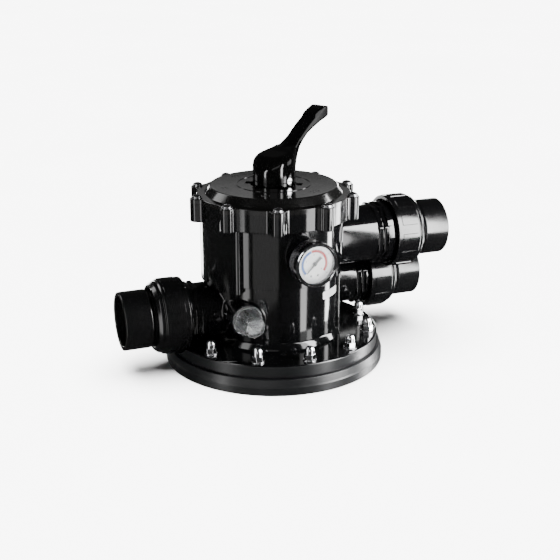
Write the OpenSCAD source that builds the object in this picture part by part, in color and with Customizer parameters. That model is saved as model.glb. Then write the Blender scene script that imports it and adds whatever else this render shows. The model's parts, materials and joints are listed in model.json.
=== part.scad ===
// Top-mount six-way selector valve for a filter tank, drawn as separate sub-parts in one frame.
// +Z is up along the valve axis, the ports lie along X, and the origin is the centre of the foot.

/* [Body] */
// Outer radius of the upper body
body_r = 87.3; // [82:0.1:92]
// Step in from the upper body to the lower body
lower_step = 2.6; // [1:0.1:4]
// Wall thickness of the body shell
wall = 7; // [5:0.1:8]
// Height of the seat that the rotor turns on
deck_z = 118; // [116:0.5:121]
// Thickness of the seat
deck_t = 8; // [5:0.5:10]
// Height of the plane that the lid screws press on
lid_z = 221.3; // [214:0.1:228]
// Depth of the bolted rim, lid and body together
rim_depth = 29.8; // [24:0.1:32]

/* [Foot] */
// Height of the neck ring that stays on the tank
ring_h = 20; // [16:0.5:21]
// Reach of the neck ring beyond the flange
ring_reach = 7.2; // [5:0.1:12]
// Reach of the bottom flange beyond the upper body
flange_reach = 49.3; // [45:0.1:55]
// Thickness of the bottom flange
flange_t = 16.4; // [12:0.1:17]
// Radius of a flange stud
stud_r = 4; // [3:0.5:4]
// Distance of the studs from the edge of the flange
stud_inset = 12.3; // [11:0.1:16]

/* [Lid] */
// Distance of the lid screws outside the body
screw_outset = 15.4; // [12:0.1:18]
// Radius of each screw boss on the rim
boss_r = 8.7; // [7:0.1:10]
// Thickness of the lid's rim
lid_rim_t = 6.3; // [4:0.1:8]
// Height of the raised lid disc above the screw plane
lid_rise = 9.6; // [8:0.1:12]

/* [Handle] */
// Direction of the lever, turned from the X axis
handle_dir = 30; // [-150:60:150]
// Radius of the handle's hub
hub_r = 26.7; // [25:0.1:28]
// Width of the lever
lever_w = 22.6; // [18:0.1:26]
// Reach of the lever's tip from the valve axis
lever_reach = 106; // [90:1:125]
// Radius of the steel pin through the handle and stem
pin_r = 4; // [3:0.1:4.5]

/* [Stem and rotor] */
// Radius of the rotor's stem
stem_r = 12.4; // [11:0.1:13]
// Gap between the rotor's rim and the chamber wall
rotor_gap = 3; // [2:0.1:6]
// Radius of the spring wire
spring_wire_r = 2.2; // [1.5:0.1:2.5]
// Turns of the spring
spring_turns = 5.5; // [4:0.5:7]

/* [Unions] */
// Outer radius of the pipe sockets
socket_r = 37.5; // [32:0.1:38]
// Wall of the pipe sockets
socket_wall = 5.9; // [4:0.1:7]
// Depth of the pipe bore
pipe_depth = 38; // [30:0.5:40]
// Length of a union nut
nut_len = 41; // [39:0.5:44]
// Length from the inner face of a nut to the end of its socket
union_len = 80.6; // [78:0.1:90]
// Reach of the waste union beyond the upper body
waste_reach = 39; // [38.7:0.1:60]
// Height of the waste port
waste_z = 70.8; // [70.8:0.1:74]
// Reach of the pump union beyond the upper body
pump_reach = 70.9; // [60:0.1:90]
// Height of the pump port
pump_z = 151.5; // [151:0.1:153]
// Reach of the return union beyond the upper body
return_reach = 63.7; // [58:0.1:80]
// Height of the return port
return_z = 73.2; // [72:0.1:74]
// Gap between the nuts of the pump and return unions
nuts_gap = 1.4; // [1:0.1:6]

/* [Gauge and sight glass] */
// Turn of the gauge from straight ahead
gauge_turn = 5; // [-5:1:20]
// Height of the centre of the gauge
gauge_z = 155.6; // [150:0.1:158]
// Distance of the gauge's front from the body
gauge_reach = 33.7; // [32:0.1:45]
// Outer radius of the gauge bezel
bezel_r = 28.2; // [27:0.1:30]
// Sideways distance of the sight glass from the axis
sight_side = 62.6; // [58:0.1:64]
// Height of the sight glass
sight_z = 78.5; // [74:0.1:84]
// Reach of the sight glass's boss out of the body
sight_reach = 15; // [13:0.1:20]

/* [Clearances] */
// Radial running fit of a shaft or pin
run_fit = 0.05; // [0.02:0.01:0.1]
// Gap between curved faces that move past each other
free_gap = 0.6; // [0.4:0.1:1]

/* [Hidden] */
$fn = 96;
far = 400;

// Heights and radii of the body and foot
lower_r = body_r - lower_step;
chamber_r = body_r - wall;
lower_in_r = lower_r - wall;
flange_r = body_r + flange_reach;
ring_r = flange_r + ring_reach;
stud_circle_r = flange_r - stud_inset;
flange_z = ring_h + flange_t;
foot_h = 8.3;
floor_z = flange_z + 7.6;
floor_t = 6;
under_z = deck_z - deck_t;
seam_z = deck_z - 2.5;
rim_z = lid_z - rim_depth;
rim_top_z = lid_z - lid_rim_t;
gasket_t = 3;
seat_z = deck_z + gasket_t;
web_t = 5;
web_turns = [60, 120, 240, 300];
spigot_r = body_r - 8;
spigot_t = 6;
spigot_z0 = 8;
ring_bore_r = spigot_r + 0.7;
rebate_r = ring_bore_r + 2;
flange_seal_r = body_r + 17.7;
flange_seal_tube_r = 2.7;
channel_r = body_r + 7.7;
channel_half = 42.5;
return_wall_r = lower_r + 3.6;
stud_turns = [0, 60, 90, 120, 150, 210, 240, 270, 300, 330];
washer_r = stud_r + 4.5;

// Rim and lid
screw_count = 10;
screw_r = 2.9;
screw_circle_r = body_r + screw_outset;
valley_r = screw_circle_r - 4.1;
fillet_r = 10;
lid_top_r = body_r - 6.2;
lid_top_z = lid_z + lid_rise;
lid_skin = 7;
plug_r = chamber_r - 0.3;
plug_h = 10;
index_ring_r = 47.8;
guide_r = stem_r + 6.6;
guide_z0 = lid_top_z - 44.9;
stem_bore_r = stem_r + run_fit;
recess_r = hub_r + 2.8;
recess_z = lid_top_z - 4.9;
notch_r = recess_r + 7;
notch_w = 12;

// Handle, rotor and spring
washer_t = 2.3;
hub_z0 = recess_z + washer_t + 0.2;
pin_up = 9.2;
press_angle = 30;
pin_z = hub_z0 + pin_up;
stem_over_pin = 10;
stem_top_z = pin_z + stem_over_pin;
rotor_r = chamber_r - rotor_gap;
rotor_h = 24;
rotor_roof_t = 4;
rotor_top_z = seat_z + rotor_h;
rotor_z0 = seat_z + 0.02;
rotor_wall_h = rotor_top_z - rotor_z0;
rotor_walls = [120, 240, 300];
spring_r = guide_r + 3.3 + spring_wire_r;
spring_plate_t = 2;
spring_top_z = lid_top_z - 24.9;
o_ring_r = 1.15;
o_ring_levels = [guide_z0 + 12, guide_z0 + 24];

// Unions
pipe_bore_r = socket_r - socket_wall;
stub_bore_r = pipe_bore_r - 2.6;
riser_out_r = pipe_bore_r + 6;
riser_in_r = pipe_bore_r - 2.6;
riser_z0 = 10;
riser_stop_z = riser_z0 + pipe_depth;
nut_r = socket_r + 11.4;
collar_r = socket_r + 3.6;
collar_w = 6;
collar_gap = 2;
thread_core_r = socket_r + 3.1;
thread_crest_r = socket_r + 4.9;
thread_pitch = 5;
thread_w = 1.9;
thread_z0 = 5;
thread_count = 4;
thread_end = 26;
tail_flange_t = 8;
seal_r = socket_r - 3;
seal_tube_r = 1.7;
seal_groove = 2 * seal_tube_r + 0.1;
return_y = sqrt((2 * nut_r + nuts_gap) ^ 2 - (pump_z - return_z) ^ 2);

return_root = return_reach + 46;

// Each port: place of the nut's inner face, direction along X, and gap from the nut to the collars
waste = [-body_r - waste_reach, 0, waste_z, -1, 3];
pump = [body_r + pump_reach, 0, pump_z, 1, 10];
return_port = [body_r + return_reach, return_y, return_z, 1, 4];

// Gauge and sight glass
gauge_front = body_r + gauge_reach;
case_r = bezel_r - 1.6;
gauge_thread_r = 6.6;
gauge_boss_h = 5;
gauge_seal_t = 0.7;
gauge_hex_z = gauge_boss_h - gauge_reach + gauge_seal_t;
sight_y = sqrt(lower_r ^ 2 - sight_side ^ 2) + sight_reach;

function polar(r, a) = [r * cos(a), r * sin(a)];

// ---------- shared shapes ----------

module tube(r_out, r_in, h) {
    difference() {
        cylinder(r = r_out, h = h);
        translate([0, 0, -1]) cylinder(r = r_in, h = h + 2);
    }
}

module o_ring(mean_r, tube_r) {
    rotate_extrude() translate([mean_r, 0]) circle(r = tube_r, $fn = 24);
}

// A flat wedge from the axis, a0 to a1 degrees from the X axis
module wedge(a0, a1) {
    steps = 6;
    polygon(concat([[0, 0]], [for (i = [0 : steps]) polar(far, a0 + (a1 - a0) * i / steps)]));
}

module ring_sector(r_in, r_out, a0, a1) {
    intersection() {
        difference() {
            circle(r = r_out);
            circle(r = r_in);
        }
        wedge(a0, a1);
    }
}

// Places children with local +Z pointing out along a port, zero at the nut's inner face
module at_port(p) {
    translate([p[0], p[1], p[2]]) rotate([0, 90 * p[3], 0]) children();
}

module at_gauge() {
    rotate([0, 0, gauge_turn]) translate([0, -gauge_front, gauge_z]) rotate([90, 0, 0]) children();
}

module at_sight() {
    translate([-sight_side, -sight_y, sight_z]) rotate([90, 0, 0]) children();
}

module at_handle() {
    translate([0, 0, pin_z]) rotate([0, 0, handle_dir]) children();
}

module at_screws() {
    for (i = [0 : screw_count - 1]) rotate([0, 0, 360 * i / screw_count])
        translate([screw_circle_r, 0, 0]) children();
}

module at_studs() {
    for (a = stud_turns) rotate([0, 0, a]) translate([stud_circle_r, 0, 0]) children();
}

// ---------- rim outline shared by body and lid ----------

fillet_turn = acos((screw_circle_r ^ 2 + (valley_r + fillet_r) ^ 2 - (boss_r + fillet_r) ^ 2)
    / (2 * screw_circle_r * (valley_r + fillet_r)));

module rim_outline() {
    circle(r = valley_r);
    for (i = [0 : screw_count - 1]) rotate(360 * i / screw_count) {
        translate([screw_circle_r, 0]) circle(r = boss_r, $fn = 48);
        difference() {
            polygon([polar(valley_r - 12, -fillet_turn), polar(valley_r + fillet_r, -fillet_turn),
                [screw_circle_r, 0],
                polar(valley_r + fillet_r, fillet_turn), polar(valley_r - 12, fillet_turn)]);
            for (s = [-1, 1]) translate(polar(valley_r + fillet_r, s * fillet_turn))
                circle(r = fillet_r + 0.15, $fn = 64);
        }
    }
}

// ---------- body ----------

module port_stub(p, root) {
    at_port(p) {
        translate([0, 0, -root]) cylinder(r = socket_r, h = root + thread_end);
        for (i = [0, 1]) translate([0, 0, -p[4] - collar_w - i * (collar_w + collar_gap)])
            rotate([0, 0, 22.5]) cylinder(r = collar_r, h = collar_w, $fn = 8);
        translate([0, 0, -p[4] - 1]) cylinder(r = thread_core_r, h = p[4] + 1 + thread_end);
        for (i = [0 : thread_count - 1]) translate([0, 0, thread_z0 + i * thread_pitch])
            cylinder(r = thread_crest_r, h = thread_w);
    }
}

module port_bore(p, depth) {
    at_port(p) {
        translate([0, 0, -depth]) cylinder(r = stub_bore_r, h = depth + thread_end + 1);
        translate([0, 0, thread_end - seal_groove]) tube(seal_r + 2, seal_r - 2, seal_groove + 2);
    }
}

module body_shell() {
    rotate_extrude() polygon([[0, spigot_z0], [spigot_r, spigot_z0], [spigot_r, ring_h],
        [flange_r, ring_h], [flange_r, flange_z - 1.5], [flange_r - 1.5, flange_z],
        [lower_r + 5, flange_z], [lower_r + 2.5, flange_z + foot_h - 2],
        [lower_r, flange_z + foot_h], [lower_r, seam_z], [body_r, seam_z + 1.5],
        [body_r, rim_z + 1], [0, rim_z + 1]]);
    translate([0, 0, rim_z]) linear_extrude(rim_top_z - rim_z) rim_outline();
    translate([0, 0, seam_z - 6]) linear_extrude(rim_z - seam_z + 7)
        ring_sector(chamber_r + 3, channel_r, 180 - channel_half, 180 + channel_half);
    translate([0, 0, flange_z - 1]) linear_extrude(seam_z - flange_z + 2)
        ring_sector(lower_in_r + 3, return_wall_r, -36, 50);
}

module lower_cavity() {
    difference() {
        circle(r = lower_in_r);
        circle(r = riser_out_r);
        for (a = web_turns) rotate(a) translate([0, -web_t / 2]) square([body_r, web_t]);
    }
}

module body_hollows() {
    translate([0, 0, deck_z]) cylinder(r = chamber_r, h = far);
    translate([0, 0, floor_z + floor_t]) linear_extrude(under_z - floor_z - floor_t) lower_cavity();
    translate([0, 0, floor_z - 1]) linear_extrude(floor_t + 2) intersection() {
        lower_cavity();
        wedge(240, 300);
    }
    translate([0, 0, spigot_z0 - 1]) tube(spigot_r - spigot_t, riser_out_r, floor_z - spigot_z0 + 1);
    translate([0, 0, -1]) cylinder(r = riser_out_r + 1, h = riser_z0 + 1);
    translate([0, 0, riser_z0 - 1]) cylinder(r = pipe_bore_r, h = riser_stop_z - riser_z0 + 1);
    translate([0, 0, riser_stop_z - 1]) cylinder(r = riser_in_r, h = under_z - 6 - riser_stop_z + 1);
    translate([-14, riser_in_r - 6, floor_z + 16]) cube([28, 20, 30]);
    translate([0, 0, under_z - 1]) linear_extrude(deck_t + 2) difference() {
        circle(r = lower_in_r - 8);
        circle(r = 22);
        for (a = [0 : 60 : 300]) rotate(a) translate([0, -4.5]) square([body_r, 9]);
    }
}

module valve_body() {
    color([0.03, 0.03, 0.035]) difference() {
        union() {
            difference() {
                body_shell();
                waste_nut_relief();
            }
            port_stub(waste, waste_reach + 20);
            port_stub(pump, pump_reach + 20);
            port_stub(return_port, return_root);
            at_port(return_port) translate([0, 0, -return_root]) sphere(r = socket_r - 0.4);
            at_sight() translate([0, 0, -22]) cylinder(r = 20.5, h = 22);
            at_gauge() translate([0, 0, -gauge_reach - 4]) cylinder(r = 12, h = gauge_boss_h + 4);
        }
        body_hollows();
        port_bore(waste, waste_reach + 20);
        port_bore(pump, pump_reach + 13);
        port_bore(return_port, return_root - 15);
        at_sight() translate([0, 0, -40]) cylinder(r = 14.1, h = 50);
        at_gauge() translate([0, 0, -gauge_front + chamber_r - 3]) cylinder(r = gauge_thread_r, h = 20);
        translate([0, 0, ring_h - 1]) at_studs() cylinder(r = stud_r + 0.5, h = flange_t + 2);
        translate([0, 0, rim_z - 1]) at_screws() cylinder(r = screw_r, h = far);
    }
}

// Room in the flange for turning the low waste union's nut
module waste_nut_relief() {
    at_port(waste) translate([0, 0, -1]) cylinder(r = nut_r + 0.8, h = 30);
}

module neck_ring() {
    groove = 2 * flange_seal_tube_r;
    seat_half = flange_seal_tube_r + 0.3;
    color([0.16, 0.17, 0.18]) difference() {
        rotate_extrude() polygon([[rebate_r, 0], [ring_r, 0], [ring_r, ring_h * 0.5],
            [ring_r - 0.8, ring_h * 0.6], [ring_r - 3.1, ring_h], [flange_seal_r + seat_half, ring_h],
            [flange_seal_r + seat_half, ring_h - groove], [flange_seal_r - seat_half, ring_h - groove],
            [flange_seal_r - seat_half, ring_h], [ring_bore_r, ring_h],
            [ring_bore_r, spigot_z0], [rebate_r, spigot_z0]]);
        translate([0, 0, 5]) at_studs() cylinder(r = stud_r, h = far);
    }
}

module flange_o_ring() {
    color([0.02, 0.02, 0.02]) translate([0, 0, ring_h - flange_seal_tube_r])
        o_ring(flange_seal_r, flange_seal_tube_r);
}

module flange_studs() {
    color([0.7, 0.7, 0.72]) translate([0, 0, 5]) at_studs() cylinder(r = stud_r, h = flange_z + 9);
}

module flange_washers() {
    color([0.75, 0.75, 0.77]) translate([0, 0, flange_z]) at_studs() tube(washer_r, stud_r + 0.3, 1.6);
}

module acorn_nuts() {
    hex_h = 7;
    dome_r = 5.9;
    color([0.85, 0.85, 0.87]) translate([0, 0, flange_z + 1.6]) at_studs() difference() {
        union() {
            cylinder(r = 7.5, h = hex_h, $fn = 6);
            cylinder(r = dome_r, h = hex_h + 4.5, $fn = 48);
            translate([0, 0, hex_h + 4.5]) sphere(r = dome_r, $fn = 48);
        }
        translate([0, 0, -1]) cylinder(r = stud_r, h = 13.4);
    }
}

module blank_label() {
    color([0.95, 0.95, 0.95]) translate([0, 0, 93.5]) linear_extrude(10)
        ring_sector(lower_r, lower_r + 0.35, -63.5, -40);
}

// ---------- lid ----------

module lid_profile() {
    inner_r = plug_r - 10;
    boss_out_r = spring_r + 8.5;
    under = lid_top_z - lid_skin;
    plug_z0 = rim_top_z - plug_h;
    shoulder_r = lid_top_r + 7.2;
    polygon([[0, guide_z0], [guide_r, guide_z0], [guide_r, spring_top_z + spring_plate_t],
        [boss_out_r, spring_top_z + spring_plate_t], [boss_out_r, under], [inner_r, under], [inner_r, plug_z0],
        [plug_r, plug_z0], [plug_r, rim_top_z + 1], [shoulder_r, rim_top_z + 1], [shoulder_r, lid_z],
        [lid_top_r, lid_top_z], [0, lid_top_z]]);
}

module lid() {
    groove_w = 4.2;
    color([0.04, 0.04, 0.045]) difference() {
        union() {
            rotate_extrude() lid_profile();
            translate([0, 0, rim_top_z]) linear_extrude(lid_rim_t) rim_outline();
            for (a = [30 : 60 : 330]) rotate([0, 0, a])
                translate([spring_r + 6, -2, lid_top_z - lid_skin - 8])
                    cube([plug_r - spring_r - 13, 4, 10]);
            translate([0, 0, lid_top_z - 1]) tube(index_ring_r, index_ring_r - 1.2, 1.6);
        }
        translate([0, 0, guide_z0 - 1]) cylinder(r = stem_bore_r, h = far);
        translate([0, 0, recess_z]) cylinder(r = recess_r, h = far);
        for (a = [30 : 60 : 330]) rotate([0, 0, a])
            translate([0, -notch_w / 2, recess_z]) cube([notch_r, notch_w, far]);
        translate([0, 0, rim_top_z - 7.2]) tube(plug_r + 1, plug_r - 3.1, groove_w);
        translate([0, 0, rim_top_z - 1]) at_screws() cylinder(r = screw_r, h = far);
    }
}

module lid_o_ring() {
    color([0.02, 0.02, 0.02]) translate([0, 0, rim_top_z - 5.1]) o_ring(chamber_r - 1.7, 1.69);
}

module lid_screws() {
    head_r = 6;
    color([0.75, 0.75, 0.77]) at_screws() {
        translate([0, 0, rim_z + 1]) cylinder(r = screw_r, h = lid_z - rim_z, $fn = 48);
        translate([0, 0, lid_z]) tube(7.2, screw_r, 1);
        translate([0, 0, lid_z + 1]) difference() {
            intersection() {
                cylinder(r = head_r, h = 4, $fn = 48);
                translate([0, 0, -5]) sphere(r = 9, $fn = 64);
            }
            for (a = [0, 90]) rotate([0, 0, a]) translate([-3, -0.6, 2]) cube([6, 1.2, 5]);
        }
    }
}

// ---------- handle, stem and rotor ----------

module handle_side() {
    grip = lever_reach - 32;
    polygon([[-hub_r - 1, hub_z0 - pin_z], [-hub_r - 1, 15], [-hub_r + 1, 21], [-20, 26], [-13, 30],
        [7, 34], [17, 37.5], [27, 41.8], [37, 47.8], [48, 55], [60, 62.3],
        [grip - 3, 69], [grip, 73.5], [grip + 10, 78.4], [grip + 20, 81], [lever_reach - 5, 80],
        [lever_reach, 69.5], [lever_reach - 11, 65], [lever_reach - 24, 61.2],
        [grip - 9, 54.2], [56.5, 50], [48.2, 43.5], [40, 35], [34.8, 28], [30.6, 19.6],
        [27.6, 9.6], [hub_r + 1, 4], [hub_r + 1, -2], [hub_r - 1, -5],
        [hub_r - 5, hub_z0 - pin_z + 1], [20, hub_z0 - pin_z]]);
}

module handle_plan() {
    half = lever_w / 2;
    polygon(concat([for (a = [60 : 5 : 300]) polar(hub_r, a)],
        [[hub_r - 5, -half - 7], [hub_r + 1, -half - 3], [hub_r + 14, -half],
        [lever_reach - 6, -half], [lever_reach + 1, 5 - half],
        [lever_reach + 1, half - 5], [lever_reach - 6, half],
        [hub_r + 14, half], [hub_r + 1, half + 3], [hub_r - 5, half + 7]]));
}

module handle_slot() {
    half = stem_r + free_gap;
    turn_r = norm([stem_r, stem_over_pin]) + 1.2;
    heel = stem_r / cos(press_angle) + pin_up * tan(press_angle) + 1.6;
    rotate([90, 0, 0]) translate([0, 0, -half]) {
        cylinder(r = turn_r, h = 2 * half);
        translate([0.2 - turn_r, -30]) cube([turn_r - 0.2 + heel, 30, 2 * half]);
    }
}

module handle() {
    color([0.03, 0.03, 0.03]) at_handle() difference() {
        intersection() {
            translate([0, 0, -20]) linear_extrude(120) handle_plan();
            rotate([90, 0, 0]) translate([0, 0, -40]) linear_extrude(80) handle_side();
        }
        handle_slot();
        rotate([90, 0, 0]) translate([0, 0, -40]) cylinder(r = pin_r + run_fit, h = 80);
    }
}

module handle_pin() {
    color([0.85, 0.85, 0.87]) at_handle() rotate([90, 0, 0]) translate([0, 0, -hub_r + 0.6])
        cylinder(r = pin_r, h = 2 * hub_r - 1.2);
}

module handle_washer() {
    color([0.7, 0.7, 0.72]) translate([0, 0, recess_z]) tube(hub_r - 0.7, stem_r + free_gap, washer_t);
}

module stem_o_rings() {
    color([0.02, 0.02, 0.02]) for (z = o_ring_levels) translate([0, 0, z])
        o_ring(stem_r - o_ring_r, o_ring_r);
}

module rotor() {
    rim_t = 5;
    color([0.8, 0.8, 0.78]) difference() {
        union() {
            translate([0, 0, rotor_z0]) tube(rotor_r, rotor_r - rim_t, rotor_wall_h);
            translate([0, 0, rotor_top_z - rotor_roof_t]) linear_extrude(rotor_roof_t)
                ring_sector(0, rotor_r - 1, -60, 240);
            for (a = rotor_walls) rotate([0, 0, a])
                translate([0, -rim_t / 2, rotor_z0]) cube([rotor_r - 1, rim_t, rotor_wall_h]);
            translate([0, 0, rotor_z0]) cylinder(r = stem_r + 7.6, h = rotor_wall_h);
            translate([0, 0, rotor_top_z]) cylinder(r1 = stem_r + 6, r2 = stem_r, h = 8);
            translate([0, 0, rotor_top_z]) cylinder(r = stem_r, h = stem_top_z - rotor_top_z);
        }
        for (z = o_ring_levels) translate([0, 0, z - o_ring_r - 0.15])
            tube(stem_r + 1, stem_r - 2 * o_ring_r - 0.05, 2 * o_ring_r + 0.3);
        at_handle() rotate([90, 0, 0]) translate([0, 0, -40]) cylinder(r = pin_r, h = 80);
    }
}

// Points of one ring round the wire, at turn t of the coil
function spring_ring(t, sides, r, z) = [for (j = [0 : sides - 1]) let (b = 360 * j / sides)
    [(r + spring_wire_r * cos(b)) * cos(360 * t), (r + spring_wire_r * cos(b)) * sin(360 * t),
        z + spring_wire_r * sin(b)]];

module spring() {
    sides = 8;
    steps = 26;
    n = round(spring_turns * steps);
    z0 = rotor_top_z + spring_wire_r + 0.05;
    rise = spring_top_z - rotor_top_z - 2 * spring_wire_r - 0.1;
    points = [for (i = [0 : n]) each spring_ring(i / steps, sides, spring_r, z0 + rise * i / n)];
    walls = [for (i = [0 : n - 1], j = [0 : sides - 1]) let (k = (j + 1) % sides)
        [i * sides + j, i * sides + k, (i + 1) * sides + k, (i + 1) * sides + j]];
    first = [[for (j = [sides - 1 : -1 : 0]) j]];
    last = [[for (j = [0 : sides - 1]) n * sides + j]];
    color([0.7, 0.7, 0.72]) polyhedron(points = points, faces = concat(walls, first, last));
}

module spring_washer() {
    color([0.7, 0.7, 0.72]) translate([0, 0, spring_top_z])
        tube(spring_r + 5.5, guide_r + 0.3, spring_plate_t);
}

module spider_gasket() {
    color([0.02, 0.02, 0.02]) translate([0, 0, deck_z]) linear_extrude(gasket_t) {
        difference() {
            circle(r = rotor_r);
            circle(r = rotor_r - 7);
        }
        difference() {
            circle(r = 21);
            circle(r = 15);
        }
        for (a = [0 : 60 : 300]) rotate(a) translate([18, -3]) square([rotor_r - 21, 6]);
    }
}

// ---------- unions ----------

module union_nut(p) {
    bore_r = thread_crest_r + free_gap;
    lip_z = thread_end + tail_flange_t + 0.2;
    at_port(p) {
        rotate_extrude() polygon([[bore_r, 0], [nut_r - 1, 0], [nut_r, 1],
            [nut_r, nut_len - 8], [nut_r - 1.2, nut_len - 4], [nut_r - 6, nut_len],
            [socket_r + free_gap, nut_len], [socket_r + free_gap, lip_z], [bore_r, lip_z]]);
        for (i = [0 : thread_count - 2])
            translate([0, 0, thread_z0 + thread_pitch / 2 + i * thread_pitch])
                tube(bore_r + 1, thread_core_r + free_gap, thread_w);
    }
}

module union_tailpiece(p) {
    neck_r = socket_r - 2.2;
    stop_z = union_len - pipe_depth;
    color([0.03, 0.03, 0.035]) at_port(p) rotate_extrude() polygon([
        [stub_bore_r, thread_end], [thread_crest_r, thread_end],
        [thread_crest_r, thread_end + tail_flange_t], [neck_r, thread_end + tail_flange_t],
        [neck_r, nut_len + 3], [socket_r, nut_len + 7], [socket_r, union_len - 1],
        [socket_r - 1, union_len], [pipe_bore_r, union_len], [pipe_bore_r, stop_z],
        [stub_bore_r, stop_z]]);
}

module union_seal(p) {
    color([0.02, 0.02, 0.02]) at_port(p) translate([0, 0, thread_end - seal_tube_r - 0.02])
        o_ring(seal_r, seal_tube_r);
}

module waste_nut() { color([0.03, 0.03, 0.035]) union_nut(waste); }
module waste_tailpiece() { union_tailpiece(waste); }
module waste_o_ring() { union_seal(waste); }
module pump_nut() { color([0.03, 0.03, 0.035]) union_nut(pump); }
module pump_tailpiece() { union_tailpiece(pump); }
module pump_o_ring() { union_seal(pump); }
module return_nut() { color([0.03, 0.03, 0.035]) union_nut(return_port); }
module return_tailpiece() { union_tailpiece(return_port); }
module return_o_ring() { union_seal(return_port); }

// ---------- sight glass ----------

module sight_glass() {
    tip = 27.7;
    color([0.9, 0.95, 0.97, 0.4]) at_sight() difference() {
        rotate_extrude() polygon([[0, -12], [14, -12], [14, 0], [19.5, 0], [19.5, 3.5],
            [15.4, 3.5], [12.8, tip - 0.8], [12, tip], [0, tip]]);
        translate([0, 0, -13]) cylinder(r = 11.5, h = 16.5);
        translate([0, 0, 3.4]) cylinder(r1 = 11.5, r2 = 10, h = tip - 6);
        tube(18, 15.4, 1.6);
    }
}

module sight_glass_o_ring() {
    color([0.02, 0.02, 0.02]) at_sight() translate([0, 0, 0.8]) o_ring(16.7, 0.79);
}

// ---------- gauge ----------

module gauge_case() {
    color([0.7, 0.7, 0.72]) at_gauge() difference() {
        translate([0, 0, -25]) cylinder(r = case_r, h = 19);
        translate([0, 0, -23.2]) cylinder(r = case_r - 1.8, h = 30);
        translate([0, 0, -26]) cylinder(r = 5.5, h = 5);
        translate([0, case_r - 6, -15]) rotate([-90, 0, 0]) cylinder(r = 3, h = 10);
    }
}

module gauge_bezel() {
    color([0.85, 0.85, 0.87]) at_gauge() rotate_extrude() polygon([[bezel_r - 1.6, -9], [bezel_r, -9],
        [bezel_r, -1.2], [bezel_r - 1, 0], [bezel_r - 2, 0], [bezel_r - 2.6, -1], [bezel_r - 3.6, -1],
        [bezel_r - 4.6, -1.8], [bezel_r - 4.6, -2.4], [bezel_r - 3, -2.4],
        [bezel_r - 3, -6], [bezel_r - 1.6, -6]]);
}

module gauge_lens() {
    color([0.95, 0.97, 1, 0.3]) at_gauge() translate([0, 0, -4]) cylinder(r = bezel_r - 3.05, h = 1.6);
}

module gauge_dial() {
    color([0.95, 0.95, 0.93]) at_gauge() translate([0, 0, -9.6]) tube(bezel_r - 3.6, 1.2, 0.8);
}

module gauge_dial_screws() {
    color([0.6, 0.6, 0.62]) at_gauge() for (s = [-1, 1]) translate([s * 4.5, -15, -8.8])
        cylinder(r = 1.3, h = 0.7, $fn = 32);
}

module gauge_pointer() {
    zero = 225;
    color([0.05, 0.05, 0.06]) at_gauge() {
        translate([0, 0, -14]) cylinder(r = 0.8, h = 6, $fn = 32);
        translate([0, 0, -8]) cylinder(r = 2.2, h = 1.6, $fn = 48);
        rotate([0, 0, zero]) translate([0, 0, -7.6]) linear_extrude(0.8)
            polygon([[-11.5, -1.4], [-5, -1.4], [-3.5, -0.7], [0, -0.9], [19.5, -0.3],
                [19.5, 0.3], [0, 0.9], [-3.5, 0.7], [-5, 1.4], [-11.5, 1.4]]);
    }
}

module gauge_socket() {
    color([0.72, 0.55, 0.25]) at_gauge() {
        translate([0, 0, -gauge_front + chamber_r])
            cylinder(r = gauge_thread_r, h = gauge_front - chamber_r + gauge_hex_z);
        translate([0, 0, gauge_hex_z]) cylinder(r = 8, h = -25 - gauge_hex_z, $fn = 6);
        translate([0, 0, -25]) cylinder(r = 5.5, h = 1.8);
        translate([-5.5, -5.5, -23.2]) cube([11, 11, 5]);
    }
}

module bourdon_tube() {
    color([0.72, 0.55, 0.25]) at_gauge() translate([0, 0, -20]) {
        rotate([0, 0, -90]) rotate_extrude(angle = 260) translate([16, 0]) circle(r = 1.9, $fn = 24);
        rotate([0, 0, -90]) translate([5.5, -1.5, -1.2]) cube([10.5, 3, 2.4]);
    }
}

module gauge_seal() {
    color([0.9, 0.9, 0.9]) at_gauge() translate([0, 0, gauge_boss_h - gauge_reach])
        tube(9.5, gauge_thread_r, gauge_seal_t);
}

module gauge_vent_plug() {
    color([0.02, 0.02, 0.02]) at_gauge() translate([0, case_r - 1.8, -15]) rotate([-90, 0, 0]) {
        cylinder(r = 2.95, h = 2.4, $fn = 48);
        translate([0, 0, 2.3]) cylinder(r = 4.2, h = 2.4, $fn = 48);
    }
}

// ---------- one node, or the whole valve ----------

valve_body();
lid();
lid_o_ring();
lid_screws();
handle();
handle_pin();
handle_washer();
stem_o_rings();
rotor();
spring();
spring_washer();
spider_gasket();
sight_glass();
sight_glass_o_ring();
gauge_case();
gauge_bezel();
gauge_dial();
gauge_lens();
gauge_pointer();
gauge_socket();
gauge_seal();
gauge_vent_plug();
gauge_dial_screws();
bourdon_tube();
waste_nut();
waste_tailpiece();
waste_o_ring();
pump_nut();
pump_tailpiece();
pump_o_ring();
return_nut();
return_tailpiece();
return_o_ring();
neck_ring();
flange_o_ring();
flange_studs();
flange_washers();
acorn_nuts();
blank_label();
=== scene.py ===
"""Looks of a top-mount six-way selector valve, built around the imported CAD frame.

Every piece is worked out from the boxes of the CAD nodes, in metres. Pieces are turned shapes with
rounded corners, copies of CAD meshes with rounded edges, and small parts made in mesh code.
"""

import json
from math import atan2, cos, pi, radians, sin, sqrt, tan, tau

import bmesh
import bpy
from mathutils import Euler, Matrix, Vector

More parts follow.
